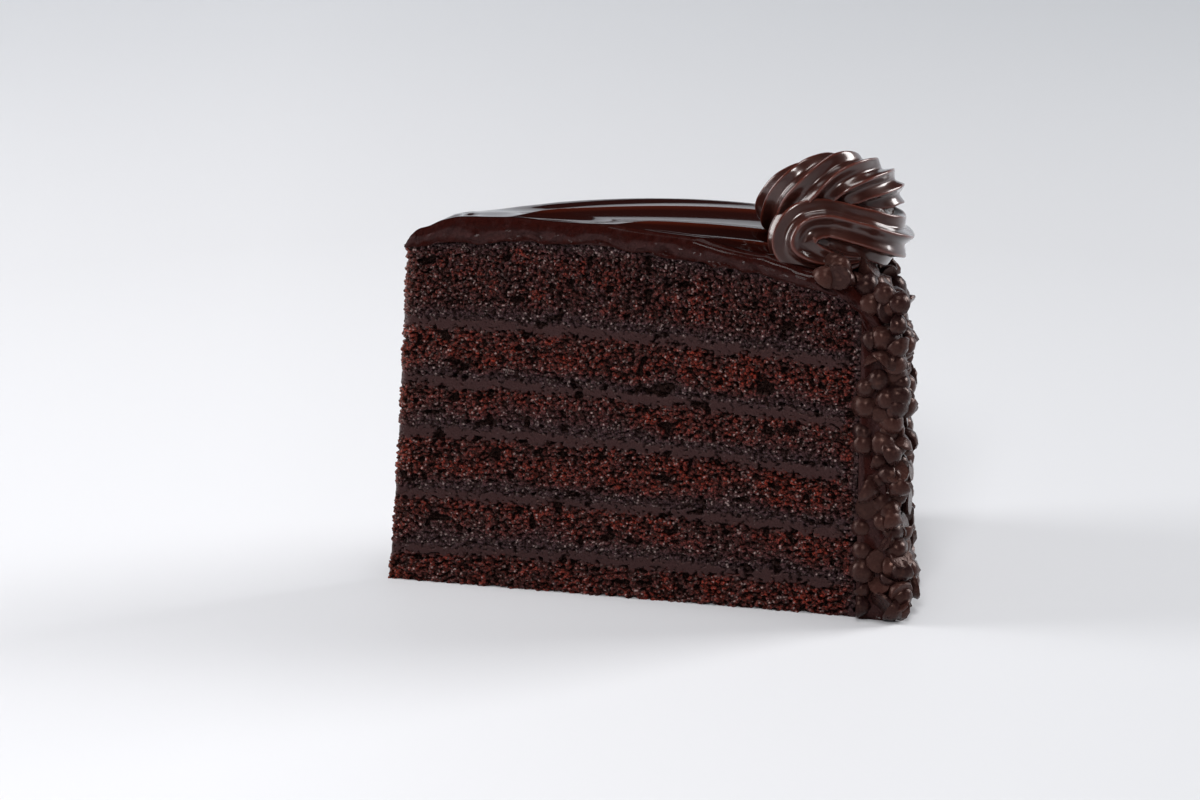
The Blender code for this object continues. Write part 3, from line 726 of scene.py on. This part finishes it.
def chipShape():
    # a blunt drop: its profile turned about its own axis, with the middle of its height at the origin
    profile = np.array(chipForm["profile"]) * (chipForm["radius"], chipForm["height"])
    angle = fullTurn(chipForm["sides"])
    x, y = profile[:, :1] * np.cos(angle), profile[:, :1] * np.sin(angle)
    z = np.broadcast_to(profile[:, 1:] - chipForm["middle"] * chipForm["height"], x.shape)
    shape = np.stack((x, y, z), -1).reshape(-1, 3)
    return shape, gridFaces(len(profile), chipForm["sides"], closed=True)


def chipPlaces(rng):
    # on the rim in three layers, and then three columns on the coat's edge in each cut face
    length, *lines = coatProfile()
    half = sliceForm["halfAngle"]
    width = half * sliceForm["coatRadius"] + chipForm["beyond"]
    places, frames = [], []
    low, high = chipForm["margins"]
    for spacing, lift, tilt in chipForm["layers"]:
        spots = scatter(rng, spacing, (-width, low), (width, length[-1] - high))
        angle = spots[:, 0] / sliceForm["coatRadius"]
        radius, height, outwards, upwards = (np.interp(spots[:, 1], length, line) for line in lines)
        raised = rng.uniform(*lift, len(spots))
        radius, height = radius + raised * outwards, height + raised * upwards
        places.append(np.stack((radius * np.cos(angle), radius * np.sin(angle), height), -1))
        out = np.stack((outwards * np.cos(angle), outwards * np.sin(angle), upwards), -1)
        frames.append(turned(out * rng.choice((-1.0, 1.0), (len(spots), 1), p=chipForm["facing"]), rng, tilt))
    rows = np.arange(*chipForm["edgeHeights"], chipForm["edgeSpacing"])
    for cut in (-1, 1):
        spots = np.concatenate([np.stack((column + 0 * rows, rows + shift * chipForm["edgeSpacing"]), -1)
                                for column, shift in chipForm["edgeColumns"]])
        spots += rng.uniform(-chipForm["edgeJitter"], chipForm["edgeJitter"], spots.shape)
        spots = spots[rng.random(len(spots)) > chipForm["edgeMissing"]]
        out = np.array((-math.sin(half), cut * math.cos(half), 0.0))
        along = np.array((math.cos(half), cut * math.sin(half), 0.0))
        raised = rng.uniform(*chipForm["edgeLift"], (len(spots), 1))
        foot = sliceForm["footFlare"] * np.maximum(1 - spots[:, 1:] / sliceForm["footHeight"], 0) ** 2
        foot = foot * np.clip((spots[:, :1] - 115) / 6, 0, 1)
        places.append((spots[:, :1] + foot) * along + raised * out + spots[:, 1:] * np.array((0, 0, 1.0)))
        facing = unit(out + rng.uniform(0, 0.9, (len(spots), 1)) * along)
        facing = facing * rng.choice((-1.0, 1.0), (len(spots), 1), p=chipForm["facing"])
        frames.append(turned(facing, rng, chipForm["edgeTilt"]))
    return np.concatenate(places), np.concatenate(frames)


def chipPiece():
    rng = np.random.default_rng(chipForm["seed"])
    centres, frames = chipPlaces(rng)
    size = rng.uniform(*chipForm["size"], (len(centres), 1, 1))
    size = size * rng.uniform(*chipForm["stretch"], (len(centres), 1, 3))
    shape, faces = chipShape()
    drops = shape * size
    rise = np.maximum(shape[:, 2] / chipForm["height"] + chipForm["middle"], 0) ** 2
    drops[..., 0] += rng.uniform(0, chipForm["lean"], (len(centres), 1)) * chipForm["height"] * rise
    places = np.einsum("nij,nvj->nvi", frames, drops) + centres[:, None, :]
    places[..., 2] += np.maximum(chipForm["lowest"] - places[..., 2].min(1), 0)[:, None]
    faces = faces + len(shape) * np.arange(len(centres))[:, None, None]
    tone = np.repeat(rng.random(len(centres)), len(shape))
    print(len(centres), "chips")
    piece = makePiece("chips", places.reshape(-1, 3), faces.reshape(-1, 3), {"tone": tone})
    piece.data.set_sharp_from_angle(angle=math.radians(chipForm["sharp"]))
    return piece


chipFinish = {
    "dark": "#1f1010", "light": "#38211d", "scuff": "#4f352e", "sheen": "#cfa496",
    "scuffSize": 1.1, "scuffDepth": 0.0003,
}


def depositedChocolate():
    # semisweet chocolate drops, cooled and rubbed together: brown, satin, with dusty scuffs
    material, tree, place = startMaterial("depositedChocolateChips")
    tone = addNode(tree, "ShaderNodeAttribute", {"attribute_name": "tone"}).outputs["Fac"]
    scuff = addNode(tree, "ShaderNodeTexNoise", {"Scale": perMetre(chipFinish["scuffSize"]), "Detail": 4.0},
                    {"Vector": place}).outputs["Fac"]
    dusty, rough = (addNode(tree, "ShaderNodeMapRange", limits, {"Value": scuff}).outputs[0] for limits in (
        {"From Min": 0.55, "From Max": 0.75, "To Max": 0.5},
        {"From Min": 0.35, "From Max": 0.7, "To Min": 0.2, "To Max": 0.42}))
    colour = addNode(tree, "ShaderNodeMix", {"data_type": "RGBA", 6: linear(chipFinish["dark"]),
                                             7: linear(chipFinish["light"])}, {0: tone}).outputs[2]
    colour = addNode(tree, "ShaderNodeMix", {"data_type": "RGBA", 7: linear(chipFinish["scuff"])},
                     {0: dusty, 6: colour}).outputs[2]
    bump = addNode(tree, "ShaderNodeBump", {"Strength": 0.4, "Distance": chipFinish["scuffDepth"]},
                   {"Height": scuff}).outputs["Normal"]
    endMaterial(tree, {"IOR": 1.45, "Specular IOR Level": 0.42, "Specular Tint": linear(chipFinish["sheen"])},
                {"Base Color": colour, "Roughness": rough, "Normal": bump})
    return material


finishPiece(chipPiece(), depositedChocolate(), "icing", "icing")
print("chips made")


# Rosette: a star-shaped rope, laid to the left along the front, folded back and coiled to the top

rosetteForm = {
    "place": (104.5, -15.0, 79.5),
    "ridges": 8, "groove": 0.31,
    "step": 0.34, "ringPoints": 176,
    "end": 4.5,                       # the last millimetres round off
    "twist": (-0.115, 52.0, 14.0),    # turn per mm, where it sets in and how softly
    "route": (                        # from the tail of the hook to the end at the back: place and radius
        (4.8, -12.5, 3.0, 1.3), (0.4, -12.0, 2.6, 3.0), (-5.0, -11.0, 3.4, 5.0), (-9.1, -9.8, 6.2, 6.9),
        (-7.6, -9.2, 10.0, 7.0), (-2.6, -9.0, 10.8, 6.1), (3.3, -9.5, 9.5, 6.0), (8.9, -8.0, 7.4, 6.4),
        (11.6, -2.5, 5.8, 6.5), (11.0, 5.0, 6.0, 6.5), (3.0, 11.0, 7.5, 6.5), (-7.5, 9.0, 9.5, 6.5),
        (-11.5, 1.5, 12.3, 6.5), (-7.8, -4.4, 17.0, 6.8), (-0.8, -5.0, 19.6, 7.0), (5.8, -2.8, 18.4, 6.8),
        (10.6, 2.2, 15.2, 6.3), (12.2, 7.0, 11.5, 4.5)),
    "core": ((0.0, 0.5, 8.5), (10.5, 10.0, 9.5)),
}


def smoothRoute():
    # a Catmull-Rom curve through the route's places and radii, then points an even step apart along it
    given = np.array(rosetteForm["route"])
    given[:, :3] += rosetteForm["place"]
    padded = np.vstack((2 * given[0] - given[1], given, 2 * given[-1] - given[-2]))
    place = np.linspace(0, len(given) - 1, 1200)
    first = np.minimum(place.astype(int), len(given) - 2)
    t = (place - first)[:, None]
    a, b, c, d = (padded[first + i] for i in range(4))
    line = (2 * b + (c - a) * t + (2 * a - 5 * b + 4 * c - d) * t ** 2 + (3 * b - a - 3 * c + d) * t ** 3) / 2
    lengths = lengthsAlong(line[:, :3])
    even = np.linspace(0, lengths[-1], round(lengths[-1] / rosetteForm["step"]) + 1)
    line = np.stack([np.interp(even, lengths, line[:, i]) for i in range(4)], -1)
    return line[:, :3], line[:, 3], even


def carriedFrames(line):
    # two directions across the line, carried along it without turning about it
    tangent = unit(np.gradient(line, axis=0))
    frames = [unit(np.cross(tangent[0], (0, 0, 1.0)))]
    for direction in tangent[1:]:
        frames.append(unit(frames[-1] - direction * np.dot(frames[-1], direction)))
    first = np.array(frames)
    return first, np.cross(tangent, first)


def rosetteRope():
    # a star profile carried along the route: its crests are sharp, its grooves round, and from the coil on
    # it turns about the route, so that the ridges climb to the right
    line, radii, length = smoothRoute()
    first, second = carriedFrames(line)
    rate, start, ramp = rosetteForm["twist"]
    twist = rate * rosetteForm["step"] * np.cumsum(np.clip((length - start) / ramp, 0, 1))
    ends = np.minimum(length / 1.2, (length[-1] - length) / rosetteForm["end"])
    swell = radii * np.sqrt(np.maximum(1 - (1 - np.minimum(ends, 1)) ** 2, 0.0004))
    angle = fullTurn(rosetteForm["ringPoints"])
    crest = 1.2 - np.sqrt(np.sin(angle * rosetteForm["ridges"] / 2) ** 2 + 0.04)
    ripple = 0.035 * softNoise(np.sin(angle)[None, :] * 3 + 8, length[:, None], 3.0, 51)
    radius = swell[:, None] * (1 - rosetteForm["groove"] * (1 - crest[None, :]) + ripple)
    turn = angle[None, :] + twist[:, None]
    points = line[:, None, :] + radius[..., None] * (
        np.cos(turn)[..., None] * first[:, None, :] + np.sin(turn)[..., None] * second[:, None, :])
    points = np.concatenate((np.repeat(line[:1, None], len(angle), 1), points,
                             np.repeat(line[-1:, None], len(angle), 1)))
    crest = np.broadcast_to(crest, points.shape[:2]).ravel()
    return makePiece("rosetteRope", points.reshape(-1, 3), gridFaces(len(points), len(angle), closed=True),
                     {"crest": crest})


def rosetteHeart():
    # an ellipsoid that fills the middle of the coil
    centre, radii = rosetteForm["core"]
    rows, columns = 25, 48
    down, about = np.meshgrid(np.linspace(0, math.pi, rows), fullTurn(columns), indexing="ij")
    ball = np.stack((np.sin(down) * np.cos(about), np.sin(down) * np.sin(about), np.cos(down)), -1)
    points = (ball * radii + np.array(centre) + rosetteForm["place"]).reshape(-1, 3)
    return makePiece("rosetteHeart", points, gridFaces(rows, columns, closed=True),
                     {"crest": np.zeros(rows * columns)})


pipedFinish = {
    "dark": "#2a120e", "light": "#351a15", "crest": "#652a1d", "sheen": "#cfaaa0",
    "mottle": 6.0, "mottleDepth": 0.0003,
}


def pipedGanache():
    # whipped ganache, piped through a star nozzle: satin brown, with thin red-brown crests
    material, tree, place = startMaterial("pipedChocolateGanache")
    crest = addNode(tree, "ShaderNodeAttribute", {"attribute_name": "crest"}).outputs["Fac"]
    mottle = addNode(tree, "ShaderNodeTexNoise", {"Scale": perMetre(pipedFinish["mottle"]), "Detail": 2.0},
                     {"Vector": place}).outputs["Fac"]
    blend, thin = (
        addNode(tree, "ShaderNodeMapRange", limits, {"Value": source}).outputs[0] for limits, source in (
            ({"From Min": 0.35, "From Max": 0.65}, mottle),
            ({"From Min": 0.82, "From Max": 1.0, "To Max": 0.5}, crest)))
    colour = addNode(tree, "ShaderNodeMix", {"data_type": "RGBA", 6: linear(pipedFinish["dark"]),
                                             7: linear(pipedFinish["light"])}, {0: blend}).outputs[2]
    colour = addNode(tree, "ShaderNodeMix", {"data_type": "RGBA", 7: linear(pipedFinish["crest"])},
                     {0: thin, 6: colour}).outputs[2]
    bump = addNode(tree, "ShaderNodeBump", {"Strength": 0.3, "Distance": pipedFinish["mottleDepth"]},
                   {"Height": mottle}).outputs["Normal"]
    endMaterial(tree, {"IOR": 1.45, "Specular IOR Level": 0.4, "Specular Tint": linear(pipedFinish["sheen"]),
                       "Roughness": 0.32, "Coat Weight": 1.0, "Coat Roughness": 0.15, "Coat IOR": 1.45},
                {"Base Color": colour, "Normal": bump})
    return material


ganache = pipedGanache()
finishPiece(rosetteRope(), ganache, "rosette", "rosette")
finishPiece(rosetteHeart(), ganache, "rosette", "rosette")
print("rosette made")


# Studio: a wide pale bowl, soft lights and the camera

studio = {
    "floorRadius": 1700.0, "wallRadius": 700.0, "wallHeight": 900.0, "sides": 96,
    "floorColour": "#e4e4e7", "floorShade": "#babbbe", "wallGlow": "#dfe4ea", "glowStrength": 0.68,
    "camera": (-0.0664, -0.7873, 0.2736), "heading": 4.0, "pitch": 16.3, "lens": 105.15,
    "world": "#dfe3ea", "worldStrength": 0.02,
    "lights": (                       # place, aim, size and power
        ("overheadSoftbox", (0.05, -0.15, 1.3), (0, 0, 0), (0.5, 0.4), 5.5),
        ("rightSoftbox", (0.95, 0.20, 0.60), (0.04, 0, 0.07), (0.42, 0.50), 10.0),
        ("leftSoftbox", (-0.95, 0.15, 0.45), (-0.02, 0, 0.06), (0.45, 0.6), 7.5),
        ("frontFill", (-0.25, -1.10, 0.95), (0, 0, 0.04), (0.30, 0.30), 8.5),
    ),
}


def paintedSweep():
    # a studio's painted sweep: matte and pale, darker to the right as painted shade, and with a painted glow
    # further out and towards the back, so that gloss has it to mirror
    material, tree, place = startMaterial("paintedStudioSweep")
    flat = addNode(tree, "ShaderNodeVectorMath", {"operation": "MULTIPLY", 1: (1.0, 1.0, 0.0)}, {0: place})
    distance = addNode(tree, "ShaderNodeVectorMath", {"operation": "LENGTH"}, {0: flat.outputs["Vector"]})
    parts = addNode(tree, "ShaderNodeSeparateXYZ", links={0: place})
    shade, glow, behind = (
        addNode(tree, "ShaderNodeMapRange", limits, {"Value": source}).outputs[0] for limits, source in (
            ({"From Min": -0.1, "From Max": 0.35}, parts.outputs["X"]),
            ({"From Min": 0.35, "From Max": 1.9}, distance.outputs["Value"]),
            ({"From Min": -0.9, "From Max": 0.5, "To Min": 0.45}, parts.outputs["Y"])))
    glow = addNode(tree, "ShaderNodeMath", {"operation": "MULTIPLY"}, {0: glow, 1: behind}).outputs[0]
    emission, colour = (
        addNode(tree, "ShaderNodeMix", {"data_type": "RGBA", 6: linear(low), 7: linear(high)},
                {0: share}).outputs[2]
        for low, high, share in (("#000000", studio["wallGlow"], glow),
                                 (studio["floorColour"], studio["floorShade"], shade)))
    endMaterial(tree, {"Roughness": 0.6, "Emission Strength": studio["glowStrength"]},
                {"Base Color": colour, "Emission Color": emission})
    return material


def makeStudio():
    # the sweep is a profile turned about the slice: flat, then a quarter turn up into a wall
    bend = np.linspace(0, math.pi / 2, 16)
    flat = np.linspace(0.0, studio["floorRadius"], 12)[:-1]
    radius = np.concatenate((flat, studio["floorRadius"] + studio["wallRadius"] * np.sin(bend),
                             (studio["floorRadius"] + studio["wallRadius"],)))
    height = np.concatenate((0 * flat, studio["wallRadius"] * (1 - np.cos(bend)), (studio["wallHeight"],)))
    angle = fullTurn(studio["sides"])
    points = np.stack((radius[:, None] * np.cos(angle) - sliceForm["axisX"], radius[:, None] * np.sin(angle),
                       height[:, None] + 0 * angle), -1)
    floor = makePiece("studioFloor", points.reshape(-1, 3), gridFaces(len(radius), len(angle), closed=True))
    floor.data.materials.append(paintedSweep())
    for name, place, aim, size, power in studio["lights"]:
        lamp = bpy.data.lights.new(name, "AREA")
        lamp.shape, lamp.size, lamp.size_y, lamp.energy = "RECTANGLE", size[0], size[1], power
        light = bpy.data.objects.new(name, lamp)
        light.location = place
        light.rotation_euler = (Vector(aim) - Vector(place)).to_track_quat("-Z", "Y").to_euler()
        bpy.context.scene.collection.objects.link(light)
    world = bpy.data.worlds.new("studioAir")
    world.use_nodes = True
    world.node_tree.nodes["Background"].inputs["Color"].default_value = linear(studio["world"])
    world.node_tree.nodes["Background"].inputs["Strength"].default_value = studio["worldStrength"]
    bpy.context.scene.world = world


def makeCamera():
    heading, pitch = math.radians(studio["heading"]), math.radians(studio["pitch"])
    level = math.cos(pitch)
    look = Vector((math.sin(heading) * level, math.cos(heading) * level, -math.sin(pitch)))
    camera = bpy.data.objects.new("camera", bpy.data.cameras.new("camera"))
    camera.data.lens = studio["lens"]
    camera.data.sensor_width = 36.0
    camera.location = studio["camera"]
    camera.rotation_euler = look.to_track_quat("-Z", "Y").to_euler()
    bpy.context.scene.collection.objects.link(camera)
    bpy.context.scene.camera = camera


makeStudio()
makeCamera()
bpy.context.scene.view_settings.view_transform = "Standard"
print("studio made")
